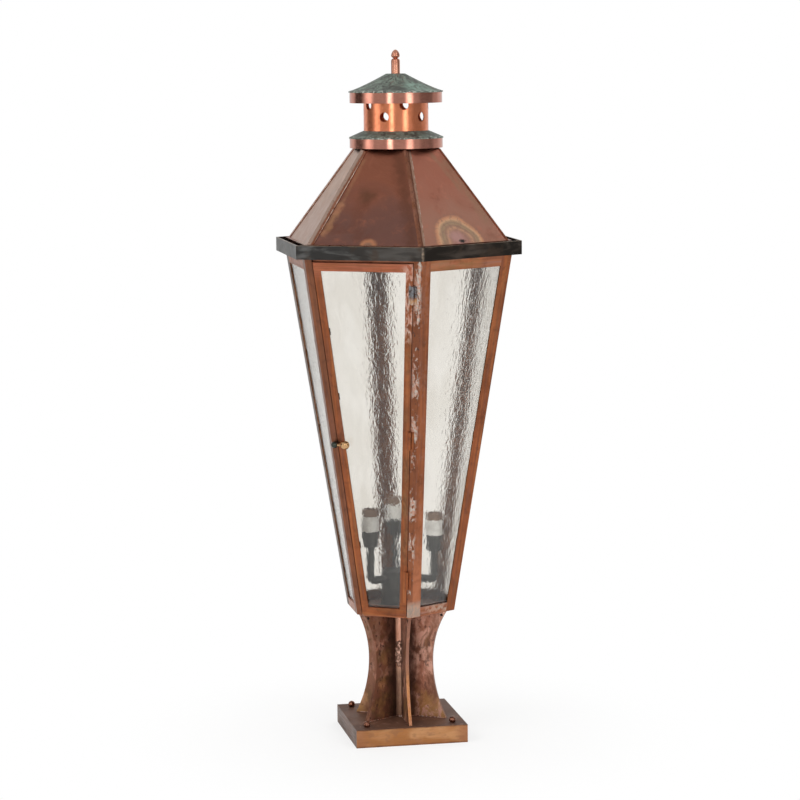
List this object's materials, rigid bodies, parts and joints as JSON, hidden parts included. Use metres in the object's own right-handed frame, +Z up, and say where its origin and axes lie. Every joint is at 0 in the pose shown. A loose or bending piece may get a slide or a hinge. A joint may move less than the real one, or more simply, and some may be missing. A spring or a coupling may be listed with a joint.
{
  "type": "pier mount lantern",
  "caption": "Six-sided tapered copper lantern with a hinged glazed door, pyramid roof and round vent, on a curved-fin pedestal and square folded base.",
  "frame": {"origin": "middle of the base's underside", "axes": "+Z up along the lantern's axis to the finial; -Y is the side where a body corner stands over the base's front edge, with the door to its left"},
  "size_m": [0.297, 0.343, 0.914],
  "materials": {
    "base_copper": "satin aged copper",
    "galvanised_steel": "dull zinc",
    "dark_copper": "dark oxidised copper",
    "frame_copper": "reddish-brown aged copper",
    "seeded_glass": "clear seeded glass",
    "brass": "polished brass",
    "blackened_copper": "blackened, satin",
    "black_metal": "matt black paint",
    "roof_copper": "heat-tinted oxidised copper",
    "bright_copper": "polished copper",
    "verdigris": "green patina over copper",
    "porcelain": "unglazed grey-white",
    "brown_phenolic": "matt moulded"
  },
  "bodies": {
    "lantern": {"base_tray": "base_copper", "pier_plate": "galvanised_steel", "pier_studs": "galvanised_steel", "ball_nuts": "dark_copper", "pedestal_tube": "frame_copper", "pedestal_fin_1": "dark_copper", "pedestal_fin_2": "dark_copper", "pedestal_fin_3": "dark_copper", "pedestal_fin_4": "dark_copper", "pedestal_fin_5": "dark_copper", "pedestal_fin_6": "dark_copper", "pedestal_cap_plate": "frame_copper", "body_floor": "dark_copper", "corner_post_1": "frame_copper", "corner_post_2": "frame_copper", "corner_post_3": "frame_copper", "corner_post_4": "frame_copper", "corner_post_5": "frame_copper", "corner_post_6": "frame_copper", "bottom_rails": "frame_copper", "top_rails": "frame_copper", "top_ring": "frame_copper", "glass_pane_1": "seeded_glass", "glass_pane_2": "seeded_glass", "glass_pane_3": "seeded_glass", "glass_pane_4": "seeded_glass", "glass_pane_5": "seeded_glass", "glass_clips": "dark_copper", "post_hinge_leaves": "frame_copper", "hinge_pins": "brass", "eave_band": "blackened_copper", "roof_curb": "bright_copper", "roof_panel_1": "roof_copper", "roof_panel_2": "roof_copper", "roof_panel_3": "roof_copper", "roof_panel_4": "roof_copper", "roof_panel_5": "roof_copper", "roof_panel_6": "roof_copper", "hip_strips": "bright_copper", "lower_rim": "bright_copper", "lower_brim": "verdigris", "vent_collar": "bright_copper", "upper_rim": "bright_copper", "upper_cap": "verdigris", "cap_strap": "frame_copper", "finial_stud": "brass", "finial": "bright_copper", "cluster_body": "black_metal", "cluster_arms": "black_metal", "lamp_cups": "black_metal", "lamp_insulators": "porcelain", "lamp_rings": "brown_phenolic", "lamp_shells": "brass"},
    "door": {"door_frame": "frame_copper", "door_glass": "seeded_glass", "door_clips": "dark_copper", "door_hinge_leaves": "frame_copper"},
    "latch": {"latch_handle": "brass", "latch_dark_ball": "blackened_copper", "latch_tongue": "brass"}
  },
  "joints": [
    {"name": "door_hinge", "type": "hinge", "parent": "lantern", "child": "door", "pos_m": [-0.00847, -0.11499, 0.41289], "axis": [-0.0054, -0.1672, 0.9859], "range_deg": [0, 110]},
    {"name": "latch_turn", "type": "hinge", "parent": "door", "child": "latch", "pos_m": [-0.09209, -0.07004, 0.40447], "axis": [0.4945, 0.8565, 0.1479], "range_deg": [0, 90]}
  ]
}
